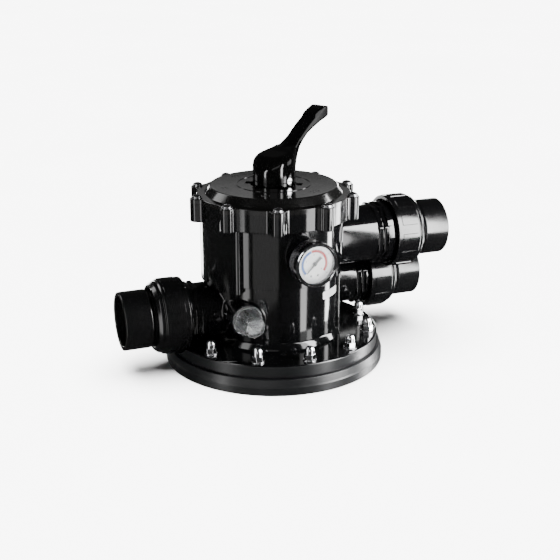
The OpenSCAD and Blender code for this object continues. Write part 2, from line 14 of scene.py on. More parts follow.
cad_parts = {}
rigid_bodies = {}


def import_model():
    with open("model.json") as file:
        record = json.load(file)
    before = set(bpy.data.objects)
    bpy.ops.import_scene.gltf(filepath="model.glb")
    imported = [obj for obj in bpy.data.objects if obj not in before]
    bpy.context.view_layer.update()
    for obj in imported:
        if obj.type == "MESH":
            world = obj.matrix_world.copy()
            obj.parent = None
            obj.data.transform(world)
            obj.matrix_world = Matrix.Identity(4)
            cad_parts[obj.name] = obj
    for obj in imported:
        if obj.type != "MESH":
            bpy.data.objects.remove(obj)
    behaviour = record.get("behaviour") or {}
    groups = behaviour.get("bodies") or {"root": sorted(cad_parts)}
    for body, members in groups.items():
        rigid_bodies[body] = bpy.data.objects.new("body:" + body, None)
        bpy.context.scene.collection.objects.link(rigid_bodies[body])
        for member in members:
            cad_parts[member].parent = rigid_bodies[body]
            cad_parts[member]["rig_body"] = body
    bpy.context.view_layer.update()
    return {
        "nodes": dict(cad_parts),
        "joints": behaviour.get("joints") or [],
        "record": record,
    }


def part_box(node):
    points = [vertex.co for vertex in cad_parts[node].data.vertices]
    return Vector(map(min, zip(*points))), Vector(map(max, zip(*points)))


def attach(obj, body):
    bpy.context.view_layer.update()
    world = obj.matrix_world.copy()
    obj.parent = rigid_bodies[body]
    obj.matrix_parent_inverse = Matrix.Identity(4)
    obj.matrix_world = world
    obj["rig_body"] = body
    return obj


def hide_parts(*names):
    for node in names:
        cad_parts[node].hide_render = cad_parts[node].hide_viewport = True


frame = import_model()

MM = 0.001
NODES = frame["nodes"]
JOINTS = {j["name"]: j for j in frame["joints"]}


# ---------- camera ----------

CAMERA_PLACE = Vector((-0.4567, -1.2001, 0.5444))
CAMERA_TURN = Euler((radians(70.92), 0.0, radians(-21.2)))
CAMERA_LENS = 66.3

camera_data = bpy.data.cameras.new("camera")
camera = bpy.data.objects.new("camera", camera_data)
bpy.context.scene.collection.objects.link(camera)
camera.location = CAMERA_PLACE
camera.rotation_euler = CAMERA_TURN
camera_data.lens = CAMERA_LENS
camera_data.sensor_width = 36.0
bpy.context.scene.camera = camera


# ---------- sizes read from the frame ----------

def low(node):
    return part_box(node)[0]


def high(node):
    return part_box(node)[1]


def middle(node):
    return (low(node) + high(node)) / 2


def size(node):
    return high(node) - low(node)


RING_R = size("neck_ring").x / 2
RING_H = high("neck_ring").z
FLANGE_R = RING_R - 7.2 * MM
FLANGE_Z = low("flange_washers").z
UPPER_R = RING_R - 56.5 * MM
LOWER_R = UPPER_R - 2.6 * MM


# ---------- materials ----------

class Nodes:
    """Builds one node material, with helpers for the noises that every finish shares."""

    def __init__(self, name):
        self.material = bpy.data.materials.new(name)
        self.material.use_nodes = True
        self.tree = self.material.node_tree
        self.shader = self.tree.nodes["Principled BSDF"]
        self.where = self.tree.nodes.new("ShaderNodeTexCoord").outputs["Object"]

    def add(self, kind, **settings):
        node = self.tree.nodes.new(kind)
        for key, value in settings.items():
            setattr(node, key, value)
        return node

    def link(self, source, target):
        self.tree.links.new(source, target)

    def noise(self, scale, detail=4.0, roughness=0.55, stretch=None):
        node = self.add("ShaderNodeTexNoise")
        node.inputs["Scale"].default_value = scale
        node.inputs["Detail"].default_value = detail
        node.inputs["Roughness"].default_value = roughness
        source = self.where
        if stretch:
            mapping = self.add("ShaderNodeMapping")
            mapping.inputs["Scale"].default_value = stretch
            self.link(self.where, mapping.inputs["Vector"])
            source = mapping.outputs["Vector"]
        self.link(source, node.inputs["Vector"])
        return node.outputs["Fac"]

    def ramp(self, source, stops):
        node = self.add("ShaderNodeValToRGB")
        elements = node.color_ramp.elements
        while len(elements) < len(stops):
            elements.new(0.5)
        for element, (place, colour) in zip(elements, stops):
            element.position = place
            element.color = (*colour, 1.0)
        self.link(source, node.inputs["Fac"])
        return node.outputs["Color"]

    def span(self, source, low_value, high_value, start=0.3, end=0.7):
        node = self.add("ShaderNodeMapRange")
        node.inputs["From Min"].default_value = start
        node.inputs["From Max"].default_value = end
        node.inputs["To Min"].default_value = low_value
        node.inputs["To Max"].default_value = high_value
        self.link(source, node.inputs["Value"])
        return node.outputs["Result"]

    def bump(self, source, strength, distance, below=None):
        node = self.add("ShaderNodeBump")
        node.inputs["Strength"].default_value = strength
        node.inputs["Distance"].default_value = distance
        self.link(source, node.inputs["Height"])
        if below:
            self.link(below, node.inputs["Normal"])
        return node.outputs["Normal"]

    def fixed(self, **values):
        for key, value in values.items():
            self.shader.inputs[key.replace("_", " ")].default_value = value


def moulded(name, dark, light, smooth, dull, grain=0.06, shine=0.32, patch_scale=9.0):
    """Moulded plastic or rubber: patchy colour and gloss, faint flow waves and a fine skin."""
    n = Nodes(name)
    patches = n.noise(patch_scale, detail=5.0)
    n.link(n.ramp(patches, [(0.32, dark), (0.72, light)]), n.shader.inputs["Base Color"])
    handling = n.noise(34.0, detail=6.0, roughness=0.7)
    n.link(n.span(handling, smooth, dull), n.shader.inputs["Roughness"])
    waves = n.bump(n.noise(24.0, detail=1.0), 0.12, 0.6 * MM)
    skin = n.bump(n.noise(900.0, detail=2.0), grain, 0.12 * MM, below=waves)
    n.link(skin, n.shader.inputs["Normal"])
    n.fixed(Specular_IOR_Level=shine)
    return n.material


def polished(name, dark, light, smooth, dull, stretch, grain=0.05):
    """Metal with fine lines left by polishing and a few duller patches."""
    n = Nodes(name)
    n.link(n.ramp(n.noise(60.0), [(0.3, dark), (0.7, light)]), n.shader.inputs["Base Color"])
    lines = n.noise(260.0, detail=3.0, stretch=stretch)
    n.link(n.span(lines, smooth, dull), n.shader.inputs["Roughness"])
    n.link(n.bump(lines, grain, 0.05 * MM), n.shader.inputs["Normal"])
    n.fixed(Metallic=1.0)
    return n.material


def clear(name, tint, rough, clearness):
    """Clear moulded plastic with faint waves and slightly hazy patches."""
    n = Nodes(name)
    n.link(n.ramp(n.noise(40.0), [(0.3, tint), (0.7, (1.0, 1.0, 1.0))]), n.shader.inputs["Base Color"])
    n.link(n.span(n.noise(120.0), rough, rough * 2.5), n.shader.inputs["Roughness"])
    n.link(n.bump(n.noise(70.0, detail=1.0), 0.15, 0.3 * MM), n.shader.inputs["Normal"])
    n.fixed(Transmission_Weight=clearness, IOR=1.49)
    return n.material


def printed(name, dark, light, rough):
    """Printed or painted face with a slight mottle."""
    n = Nodes(name)
    n.link(n.ramp(n.noise(150.0), [(0.3, dark), (0.7, light)]), n.shader.inputs["Base Color"])
    n.link(n.span(n.noise(400.0), rough, rough + 0.15), n.shader.inputs["Roughness"])
    n.link(n.bump(n.noise(1500.0), 0.05, 0.03 * MM), n.shader.inputs["Normal"])
    return n.material


BLACK = moulded("black_abs", (0.0006, 0.0006, 0.0007), (0.0015, 0.0016, 0.0017), 0.06, 0.13)
LID_BLACK = moulded("lid_abs", (0.0012, 0.0012, 0.0012), (0.0026, 0.0026, 0.0025), 0.10, 0.18)
UNION_BLACK = moulded("union_abs", (0.0006, 0.0006, 0.0007), (0.0016, 0.0017, 0.0018), 0.13, 0.24,
                      grain=0.10)
HANDLE_BLACK = moulded("handle_nylon", (0.0003, 0.0003, 0.0003), (0.0008, 0.0008, 0.0008), 0.08, 0.15)
# Satin grey of the neck ring. On the body's flange wall, where it is used too, the lighter grey is a
# painted reflection of the bright studio.
RING_GREY_AND_WALL_REFLECTION = moulded("ring_satin", (0.0014, 0.0016, 0.0018), (0.0040, 0.0044, 0.0048), 0.28, 0.42,
                    grain=0.12, shine=0.3)
ROTOR_WHITE = moulded("rotor_plastic", (0.62, 0.61, 0.57), (0.75, 0.74, 0.70), 0.35, 0.5)
RUBBER = moulded("rubber", (0.012, 0.012, 0.012), (0.028, 0.028, 0.028), 0.55, 0.75, grain=0.25)
STEEL = polished("steel", (0.36, 0.36, 0.37), (0.52, 0.52, 0.53), 0.16, 0.30, (1.0, 1.0, 6.0))
CHROME = polished("chrome", (0.42, 0.42, 0.43), (0.60, 0.60, 0.61), 0.05, 0.13, (1.0, 1.0, 4.0))
CASE_STEEL = polished("case_steel", (0.30, 0.30, 0.31), (0.48, 0.48, 0.49), 0.18, 0.34, (1.0, 1.0, 9.0),
                      grain=0.12)
SCREW_STEEL = polished("screw_steel", (0.13, 0.13, 0.135), (0.24, 0.24, 0.245), 0.18, 0.32,
                       (1.0, 1.0, 5.0))
BRASS = polished("brass", (0.58, 0.40, 0.15), (0.74, 0.54, 0.24), 0.2, 0.38, (3.0, 3.0, 1.0))
CLEAR = clear("clear_plastic", (0.42, 0.45, 0.46), 0.05, 0.97)
LENS = clear("lens_plastic", (0.97, 0.98, 0.99), 0.01, 1.0)
DIAL_WHITE = printed("dial_face", (0.78, 0.78, 0.77), (0.88, 0.88, 0.87), 0.35)
DIAL_BLACK = printed("dial_black", (0.012, 0.012, 0.014), (0.03, 0.03, 0.032), 0.35)
DIAL_BLUE = printed("dial_blue", (0.001, 0.07, 0.30), (0.002, 0.10, 0.40), 0.35)
DIAL_RED = printed("dial_red", (0.32, 0.001, 0.002), (0.44, 0.002, 0.004), 0.35)
LABEL_WHITE = printed("label_film", (0.74, 0.74, 0.74), (0.86, 0.86, 0.86), 0.3)
SEAL_WHITE = printed("seal_tape", (0.70, 0.70, 0.69), (0.85, 0.85, 0.84), 0.55)

FINISH = {
    "body_plastic": BLACK, "rotor_plastic": ROTOR_WHITE, "ring_plastic": RING_GREY_AND_WALL_REFLECTION, "rubber": RUBBER,
    "steel": STEEL, "chrome": CHROME, "clear": CLEAR, "brass": BRASS, "dial_white": DIAL_WHITE,
    "pointer_black": DIAL_BLACK, "label_white": LABEL_WHITE, "seal_white": SEAL_WHITE,
}
NODE_FINISH = {"gauge_lens": LENS, "gauge_dial_screws": SCREW_STEEL}
for part in frame["record"]["subparts"]:
    for material_slot in NODES[part["node"]].material_slots:
        usual = FINISH[part["material_slot"]]
        material_slot.material = NODE_FINISH.get(part["node"], usual)


# ---------- mesh helpers ----------

SHARP = radians(35)
EDGE_ANGLE = radians(28)
JOIN_DISTANCE = 2e-6
FLAT_ANGLE = radians(0.6)


def finish_piece(name, bm, materials, body, replaced=(), sharp=SHARP):
    """Turns a bmesh into a smooth-shaded piece that rides on a body and may replace CAD nodes."""
    bmesh.ops.recalc_face_normals(bm, faces=bm.faces)
    for face in bm.faces:
        face.smooth = True
    for edge in bm.edges:
        edge.smooth = len(edge.link_faces) == 2 and edge.calc_face_angle(0.0) < sharp
    mesh = bpy.data.meshes.new(name)
    bm.to_mesh(mesh)
    bm.free()
    for material in materials:
        mesh.materials.append(material)
    piece = bpy.data.objects.new(name, mesh)
    bpy.context.scene.collection.objects.link(piece)
    weighted = piece.modifiers.new("weighted", "WEIGHTED_NORMAL")
    weighted.keep_sharp = True
    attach(piece, body)
    if replaced:
        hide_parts(*replaced)
    return piece


def rounded(corners, steps=5):
    """Points of a closed outline. A corner is (x, y) or (x, y, radius), and a radius becomes an arc."""
    points = []
    count = len(corners)
    for i, corner in enumerate(corners):
        here = Vector(corner[:2])
        radius = corner[2] if len(corner) > 2 else 0.0
        back = Vector(corners[i - 1][:2]) - here
        ahead = Vector(corners[(i + 1) % count][:2]) - here
        if radius == 0.0:
            points.append(here)
            continue
        half = back.angle(ahead) / 2
        reach = min(radius / tan(half), back.length * 0.49, ahead.length * 0.49)
        radius = reach * tan(half)
        centre = here + (back.normalized() + ahead.normalized()).normalized() * (radius / sin(half))
        first = here + back.normalized() * reach - centre
        last = here + ahead.normalized() * reach - centre
        swing = first.angle_signed(last)
        for k in range(steps + 1):
            turn = Matrix.Rotation(-swing * k / steps, 2)
            points.append(centre + turn @ first)
    return points


def turn_profile(bm, corners, place, segments=96, material_index=0):
    """Turns a closed outline of (radius, height, corner radius) in mm about the local Z axis of place."""
    points = rounded([(c[0] * MM, c[1] * MM, *(v * MM for v in c[2:])) for c in corners])
    rings = []
    for k in range(segments):
        a = tau * k / segments
        rings.append([bm.verts.new(place @ Vector((p.x * cos(a), p.x * sin(a), p.y))) for p in points])
    for k in range(segments):
        ring, following = rings[k], rings[(k + 1) % segments]
        for j in range(len(points)):
            m = (j + 1) % len(points)
            if points[j].x < 1e-7 and points[m].x < 1e-7:
                continue
            bm.faces.new((ring[j], following[j], following[m], ring[m])).material_index = material_index
    on_axis = [ring[j] for ring in rings for j in range(len(points)) if points[j].x < 1e-7]
    bmesh.ops.remove_doubles(bm, verts=on_axis, dist=1e-7)


def turned(name, corners, place, material, body, replaced=(), segments=96):
    bm = bmesh.new()
    turn_profile(bm, corners, place, segments)
    return finish_piece(name, bm, [material], body, replaced)


def copy_of(node):
    """The node's mesh as clean faces: doubled points joined and flat regions made whole."""
    bm = bmesh.new()
    bm.from_mesh(NODES[node].data)
    bmesh.ops.remove_doubles(bm, verts=bm.verts, dist=JOIN_DISTANCE)
    bmesh.ops.dissolve_limit(bm, angle_limit=FLAT_ANGLE, verts=bm.verts, edges=bm.edges)
    for face in bm.faces:
        face.material_index = 0
    return bm


def is_edge(edge, least=EDGE_ANGLE):
    return len(edge.link_faces) == 2 and edge.calc_face_angle(0.0) > least


def from_axis(point):
    """Distance of a point from the valve's axis."""
    return sqrt(point.x ** 2 + point.y ** 2)


def radius_of(vert):
    return from_axis(vert.co)


def round_edges(bm, width, chosen=lambda edge: True, segments=2, least=EDGE_ANGLE):
    """Rounds the edges between faces that meet at an angle and that the test chooses."""
    edges = [e for e in bm.edges if is_edge(e, least) and chosen(e)]
    bmesh.ops.bevel(bm, geom=edges, offset=width, segments=segments, profile=0.5, affect="EDGES",
                    clamp_overlap=False)


def softened(node, name, material, width, segments=2):
    """A copy of a node with all its edges slightly rounded, which stands for the node."""
    bm = copy_of(node)
    round_edges(bm, width, segments=segments)
    return finish_piece(name, bm, [material], NODES[node]["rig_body"], [node])


def axes_frame(origin, x, y, z):
    m = Matrix((x, y, z)).transposed().to_4x4()
    m.translation = origin
    return m


def port_frame(joint):
    """Frame at the inner face of a union nut, with Z out along the port and Y across the valve."""
    z = Vector(JOINTS[joint]["axis"])
    y = Vector((0.0, 1.0, 0.0))
    return axes_frame(Vector(JOINTS[joint]["pos_m"]), y.cross(z), y, z)


# ---------- valve body ----------

def distance_to_cylinder(point, start, axis, radius):
    gap = point - start
    return (gap - axis * gap.dot(axis)).length - radius


def uphill(distance, point):
    """Direction in which a distance grows fastest."""
    step = 1e-5
    slope = [distance(point + step * e) - distance(point - step * e) for e in Matrix.Identity(3)]
    return Vector(slope).normalized()


def rolled_fillet(bm, place, radius, other, ball, first, last, reach, steps=96):
    """Fills the corner round a round boss with the surface that a ball leaves as it rolls about it.

    The boss stands along the Z axis of place. The function other gives the distance to what it stands
    on, and reach holds two heights along Z, inside and outside of that.
    """
    arc_steps = 6
    closed = last - first > 359.0
    count = steps if closed else steps + 1
    rows = []
    for k in range(count):
        a = radians(first + (last - first) * k / steps)
        out = place.to_3x3() @ Vector((cos(a), sin(a), 0.0))
        along = place.to_3x3() @ Vector((0.0, 0.0, 1.0))
        base = place.translation + out * (radius + ball)
        inside, outside = reach
        for _ in range(40):
            mid = (inside + outside) / 2
            if other(base + along * mid) < ball:
                inside = mid
            else:
                outside = mid
        centre = base + along * inside
        to_boss = -out
        to_other = -uphill(other, centre)
        loop = [centre + to_boss.slerp(to_other, j / arc_steps) * ball for j in range(arc_steps + 1)]
        depth = 1.3 * ball / (1.0 + to_boss.dot(to_other))
        loop.append(centre + (to_boss + to_other) * depth)
        rows.append([bm.verts.new(p) for p in loop])
    pairs = zip(rows, rows[1:] + rows[:1]) if closed else zip(rows, rows[1:])
    for row, following in pairs:
        for j in range(len(row)):
            m = (j + 1) % len(row)
            bm.faces.new((row[j], row[m], following[m], following[j]))
    if not closed:
        bm.faces.new(rows[0])
        bm.faces.new(reversed(rows[-1]))


SOCKET_R = size("waste_tailpiece").z / 2 - 4.9 * MM
UP = Vector((0.0, 0.0, 1.0))
UNIONS = ("waste", "pump", "return")


def body_edges(bm):
    """Rounds the outside edges of the body, each group with its own width."""
    rim_z = 191.5 * MM
    near = 0.06 * MM

    def at_height(edge, z):
        return all(abs(v.co.z - z) < near for v in edge.verts)

    def outside(edge, r):
        return all(radius_of(v) > r for v in edge.verts)

    def on_collar(edge):
        return any(port_span(edge, union + "_nut_turn") for union in UNIONS)

    def upright(edge):
        a, b = edge.verts
        return abs(a.co.x - b.co.x) < near and abs(a.co.y - b.co.y) < near

    round_edges(bm, 1.6 * MM, lambda e: at_height(e, rim_z) and outside(e, UPPER_R + 3 * MM), 3)
    for ridge_r in (UPPER_R + 7.7 * MM, LOWER_R + 3.6 * MM):
        round_edges(bm, 3.2 * MM, lambda e: upright(e) and abs(radius_of(e.verts[0]) - ridge_r) < near, 5,
                    radians(11))
    round_edges(bm, 0.7 * MM, on_collar, 2)
    round_edges(bm, 0.7 * MM, lambda e: outside(e, FLANGE_R - 1.7 * MM)
                and e.verts[0].co.z < FLANGE_Z + near, 3)


def port_span(edge, joint):
    """Whether an edge lies on the octagonal collars behind a union nut."""
    place = port_frame(joint).inverted()
    ends = [place @ v.co for v in edge.verts]
    return all(-28 * MM < p.z < -2.5 * MM and sqrt(p.x ** 2 + p.y ** 2) > SOCKET_R + 0.3 * MM for p in ends)


def build_body():
    """The body with rounded edges and rolled fillets round its pipes and bosses."""
    bm = copy_of("valve_body")
    body_edges(bm)
    # Painted reflection: the outer wall of the flange is part of the same black plate as its top, but takes
    # the lighter satin grey of the neck ring so that it shows the bright studio it reflects. Its rougher
    # satin gloss is a finish; the lighter colour is painted.
    wall_start = FLANGE_R - 0.9 * MM
    for face in bm.faces:
        centre = face.calc_center_median()
        if from_axis(centre) > wall_start and abs(face.normal.z) < 0.5 and centre.z < FLANGE_Z:
            face.material_index = 1
    waste, pump, back = (port_frame(union + "_nut_turn") for union in UNIONS)
    on_axis = Vector((0.0, 0.0, 0.0))

    def lower(p):
        return distance_to_cylinder(p, on_axis, UP, LOWER_R)

    def upper(p):
        return distance_to_cylinder(p, on_axis, UP, UPPER_R)

    def return_wall(p):
        return distance_to_cylinder(p, on_axis, UP, LOWER_R + 3.6 * MM)

    def waste_pipe(p):
        return distance_to_cylinder(p, waste.translation, waste.col[2].to_3d(), SOCKET_R)

    rolled_fillet(bm, pump, SOCKET_R, upper, 4 * MM, 0, 360, (-pump.translation.x, 0.0))
    rolled_fillet(bm, waste, SOCKET_R, lower, 4 * MM, -137, 137, (waste.translation.x, 0.0))
    rolled_fillet(bm, back, SOCKET_R, return_wall, 5 * MM, 150, 300, (-back.translation.x, 0.0))
    sight = axes_frame(middle("sight_glass_o_ring"), Vector((1, 0, 0)), UP, Vector((0, -1, 0)))
    rolled_fillet(bm, sight, 20.5 * MM, lambda p: min(lower(p), waste_pipe(p)), 3 * MM, 0, 360,
                  (sight.translation.y, 0.05))
    gauge = gauge_frame()
    rolled_fillet(bm, gauge, 12 * MM, upper, 2 * MM, 0, 360, (-0.1, 0.0))
    return finish_piece("body_shell", bm, [BLACK, RING_GREY_AND_WALL_REFLECTION], "housing", ["valve_body"])


def gauge_frame():
    """Frame at the centre of the gauge's front, with Z out towards the viewer and Y up."""
    joint = JOINTS["pointer_turn"]
    z = -Vector(joint["axis"])
    return axes_frame(Vector(joint["pos_m"]), UP.cross(z), UP, z)


build_body()


# ---------- neck ring and flange hardware ----------

def build_neck_ring():
    """The ring between the valve and the tank, with soft edges."""
    r = RING_R / MM
    h = RING_H / MM
    spigot = UPPER_R / MM - 8
    corners = [(spigot + 2.7, 0, 0.5), (r, 0, 0.8), (r, h * 0.5, 1.2), (r - 0.9, h * 0.6, 1.2),
               (r - 3.1, h, 1.0), (spigot + 0.7, h), (spigot + 0.7, 8), (spigot + 2.7, 8)]
    turned("neck_ring_finish", corners, Matrix.Identity(4), RING_GREY_AND_WALL_REFLECTION, "housing",
           ["neck_ring"], segments=160)


build_neck_ring()
softened("acorn_nuts", "acorn_nuts_finish", CHROME, 0.45 * MM, segments=3)
softened("flange_washers", "flange_washers_finish", STEEL, 0.25 * MM)
softened("lid_screws", "lid_screws_finish", SCREW_STEEL, 0.22 * MM)


# ---------- lid ----------

LID_Z = high("lid").z - 0.6 * MM
PIPS = [[(0, 0)], [(-1, 0), (1, 0)], [(-2, 0), (0, 0), (2, 0)], [(-1, -1), (1, -1), (-1, 1), (1, 1)],
        [(-2, -1), (0, -1), (2, -1), (-1, 1), (1, 1)],
        [(-2, -1), (0, -1), (2, -1), (-2, 1), (0, 1), (2, 1)]]


def dome(bm, place, radius, height, segments=16):
    """A low round pip with a flat base sunk just under the surface it marks."""
    corners = [(0, -0.3), (radius, -0.3), (radius, height * 0.45, height * 0.4), (0, height)]
    turn_profile(bm, corners, place, segments)


def build_lid():
    """The lid with rounded rims and six groups of raised pips for its positions."""
    bm = copy_of("lid")
    rim_z = LID_Z - 9.6 * MM
    near = 0.05 * MM

    def at_height(edge, z):
        return all(abs(v.co.z - z) < near for v in edge.verts)

    def between(edge, r0, r1):
        return all(r0 < radius_of(v) < r1 for v in edge.verts)

    top_r = UPPER_R - 6.2 * MM
    round_edges(bm, 1.3 * MM, lambda e: at_height(e, rim_z) and between(e, top_r + 9 * MM, 1.0)
                and max(radius_of(v) for v in e.verts) > top_r + 16 * MM, 3)
    round_edges(bm, 1.1 * MM, lambda e: at_height(e, LID_Z)
                and between(e, top_r - 0.5 * MM, top_r + 0.5 * MM), 3)
    round_edges(bm, 0.5 * MM, lambda e: all(v.co.z > LID_Z - 5.2 * MM for v in e.verts)
                and between(e, 20 * MM, 40 * MM), 2)
    for k, pips in enumerate(PIPS):
        a = radians(60 * k)
        for across, out in pips:
            spot = Matrix.Rotation(a, 4, "Z") @ Matrix.Translation(
                ((66.0 + 2.2 * out) * MM, 2.4 * across * MM, LID_Z))
            dome(bm, spot, 1.1, 0.5)
    return finish_piece("lid_finish", bm, [LID_BLACK], "housing", ["lid"])


build_lid()


# ---------- unions ----------

NUT_R = size("waste_nut").z / 2
NUT_L = size("waste_nut").x
UNION_L = 80.6 * MM


def grip_pad(bm, place, radius, z0, z1, half, thick):
    """A raised pad with sloping sides on the outside of a union nut."""
    steps = 6
    slope = 0.9 * MM
    lean = slope / radius

    def row(z, spread, r):
        turns = [-spread + 2 * spread * k / steps for k in range(steps + 1)]
        return [bm.verts.new(place @ Vector((r * cos(a), r * sin(a), z))) for a in turns]

    base = [row(z0, half, radius - thick), row(z1, half, radius - thick)]
    top = [row(z0 + slope, half - lean, radius), row(z1 - slope, half - lean, radius)]
    for k in range(steps):
        bm.faces.new((base[0][k], base[0][k + 1], base[1][k + 1], base[1][k]))
        bm.faces.new((top[0][k], top[1][k], top[1][k + 1], top[0][k + 1]))
        for side in (0, 1):
            bm.faces.new((base[side][k], base[side][k + 1], top[side][k + 1], top[side][k]))
    for k in (0, steps):
        bm.faces.new((base[0][k], base[1][k], top[1][k], top[0][k]))


def build_nut(name):
    """A union nut with a stepped front and raised grip pads."""
    place = port_frame(name + "_nut_turn")
    r = NUT_R / MM
    length = NUT_L / MM
    socket = SOCKET_R / MM
    bore = socket + 5.5
    corners = [(bore, 0, 0.6), (r - 0.9, 0, 1.2), (r - 0.9, length - 9.5, 1.5),
               (r - 3.2, length - 8.2, 1.0), (r - 3.6, length - 4, 2.5), (r - 7, length, 1.2),
               (socket + 0.6, length, 0.5), (socket + 0.6, 34.2), (bore, 34.2)]
    bm = bmesh.new()
    turn_profile(bm, corners, place, 144)
    pads = 12
    for k in range(pads):
        turn = place @ Matrix.Rotation(tau * k / pads, 4, "Z")
        grip_pad(bm, turn, NUT_R, 6 * MM, (length - 12) * MM, radians(8.5), 1.6 * MM)
    return finish_piece(name + "_nut_finish", bm, [UNION_BLACK], name + "_union",
                        [name + "_nut"])


def build_tailpiece(name):
    """The pipe socket that a union nut holds."""
    place = port_frame(name + "_nut_turn")
    r = SOCKET_R / MM
    pipe = r - 5.9
    total = UNION_L / MM
    length = NUT_L / MM
    corners = [(pipe - 2.6, 26), (r + 4.9, 26), (r + 4.9, 34), (r - 2.2, 34), (r - 2.2, length + 2.6, 2.0),
               (r, length + 6.4, 2.5), (r, total, 1.0), (pipe, total, 1.0), (pipe, total - 38, 0.5),
               (pipe - 2.6, total - 38, 0.5)]
    turned(name + "_tailpiece_finish", corners, place, UNION_BLACK, "housing",
           [name + "_tailpiece"], segments=128)


for union in UNIONS:
    build_nut(union)
    build_tailpiece(union)


# ---------- handle ----------

# The washer under the handle is 0.7 mm smaller in radius than the hub
HUB_R = size("handle_washer").x / 2 + 0.7 * MM
LEVER_HALF = 11.3 * MM
# Height of the lever's top over the pin, and radius of its upper edges, along the lever in mm
LEVER_TOP = [(-30, 15), (-28, 21), (-20, 26), (-13, 30), (7, 34), (17, 37.5), (27, 41.8), (37, 47.8),
             (48, 55), (60, 62.3), (200, 147.7)]
SHOULDER = [(-40, 11.0), (22, 11.0), (60, 3.0), (200, 2.0)]
HANDLE_VOXEL = 0.8 * MM


def height_at(points, x):
    """Height at x of a line through the points, in mm."""
    for (x0, y0), (x1, y1) in zip(points, points[1:]):
        if x <= x1:
            return y0 + (y1 - y0) * (x - x0) / (x1 - x0)
    return points[-1][1]


def even_mesh(bm, voxel):
    """The same solid with small even faces."""
    mesh = bpy.data.meshes.new("even")
    bm.to_mesh(mesh)
    bm.free()
    maker = bpy.data.objects.new("even", mesh)
    bpy.context.scene.collection.objects.link(maker)
    remesh = maker.modifiers.new("even", "REMESH")
    remesh.mode = "VOXEL"
    remesh.voxel_size = voxel
    bpy.context.view_layer.update()
    result = bpy.data.meshes.new_from_object(maker.evaluated_get(bpy.context.evaluated_depsgraph_get()))
    fine = bmesh.new()
    fine.from_mesh(result)
    bpy.data.objects.remove(maker)
    bpy.data.meshes.remove(mesh)
    bpy.data.meshes.remove(result)
    return fine


def inside_shoulder(x, y, z):
    """Moves a point of the handle, in mm from its pin, in to the round edge between its wall and top."""
    ball = height_at(SHOULDER, x)
    level = sqrt(x * x + y * y)
    in_lever = LEVER_HALF / MM - abs(y)
    in_hub = HUB_R / MM - level
    on_lever = x > 0 and in_lever > in_hub
    side = ball - max(in_lever if on_lever else in_hub, 0.0)
    up = ball - max(height_at(LEVER_TOP, x) - z, 0.0)
    if side <= 0 or up <= 0:
        return x, y, z
    reach = sqrt(side ** 2 + up ** 2)
    if reach <= ball:
        return x, y, z
    share = 1 - ball / reach
    if on_lever:
        y -= side * share * (1 if y > 0 else -1)
    else:
        x, y = x * (1 - side * share / level), y * (1 - side * share / level)
    return x, y, z - up * share


def build_handle():
    """The lever with wide round shoulders on its hub and the soft edges of a moulding."""
    across = Vector(JOINTS["handle_press"]["axis"])
    place = axes_frame(Vector(JOINTS["handle_press"]["pos_m"]), across.cross(UP), across, UP)
    inward = place.inverted()
    bm = even_mesh(copy_of("handle"), HANDLE_VOXEL)
    for vert in bm.verts:
        x, y, z = (inward @ vert.co) / MM
        vert.co = place @ (Vector(inside_shoulder(x, y, z)) * MM)
    piece = finish_piece("handle_finish", bm, [HANDLE_BLACK], "handle", ["handle"],
                         sharp=tau)
    piece.modifiers.remove(piece.modifiers["weighted"])
    soft = piece.modifiers.new("soft", "SMOOTH")
    soft.factor = 0.5
    soft.iterations = 14
    return piece


build_handle()


# ---------- gauge ----------

BEZEL_R = size("gauge_bezel").z / 2 / MM
DIAL_Z = -8.8
ZERO_TURN = 225.0
SWEEP = 262.0
# Radii of the coloured arcs, the scale line, its marks and the two rows of numbers, in mm
ARC = (14.6, 17.8)
SCALE_LINE = (18.2, 18.45)
MARK_START = 18.3
LONG_MARK, SHORT_MARK = 20.2, 19.2
INNER_NUMBERS, OUTER_NUMBERS = 11.8, 21.8
DIVISIONS = 40
LONG_EVERY = 5
NUMBERED = 5
# Turns at which the low arc ends and the high arc starts
LOW_END, HIGH_START = 106.0, 104.0
# Half outline of the needle in mm: along the dial from the tail to the tip, and its half width
NEEDLE = [(-11.5, 1.7), (-4.0, 1.5), (0.0, 1.3), (15.5, 0.4)]
POINTER_HUB_R = 2.4


def flat_arc(bm, place, r0, r1, first, last, z, thick=0.05, steps=48):
    """A printed arc: a thin ring sector in mm and degrees, lying on the dial."""
    loops = []
    for k in range(steps + 1):
        a = radians(first + (last - first) * k / steps)
        corner = [(r0, z - thick), (r1, z - thick), (r1, z + thick), (r0, z + thick)]
        spots = [Vector((r * cos(a), r * sin(a), h)) * MM for r, h in corner]
        loops.append([bm.verts.new(place @ spot) for spot in spots])
    for loop, following in zip(loops, loops[1:]):
        for j in range(4):
            m = (j + 1) % 4
            bm.faces.new((loop[j], loop[m], following[m], following[j]))
    bm.faces.new(loops[0])
    bm.faces.new(reversed(loops[-1]))


def dial_number(bm, place, text, r, turn, height):
    """Adds a number to the dial print, upright and centred at a radius and turn."""
    curve = bpy.data.curves.new("number", "FONT")
    curve.body = text
    curve.size = height * MM
    curve.extrude = 0.04 * MM
    curve.align_x = "CENTER"
    curve.align_y = "CENTER"
    maker = bpy.data.objects.new("number", curve)
    a = radians(turn)
    maker.matrix_world = place @ Matrix.Translation((r * cos(a) * MM, r * sin(a) * MM, DIAL_Z * MM))
    bpy.context.scene.collection.objects.link(maker)
    bpy.context.view_layer.update()
    mesh = bpy.data.meshes.new_from_object(maker.evaluated_get(bpy.context.evaluated_depsgraph_get()))
    mesh.transform(maker.matrix_world)
    bm.from_mesh(mesh)
    bpy.data.meshes.remove(mesh)
    bpy.data.objects.remove(maker)
    bpy.data.curves.remove(curve)


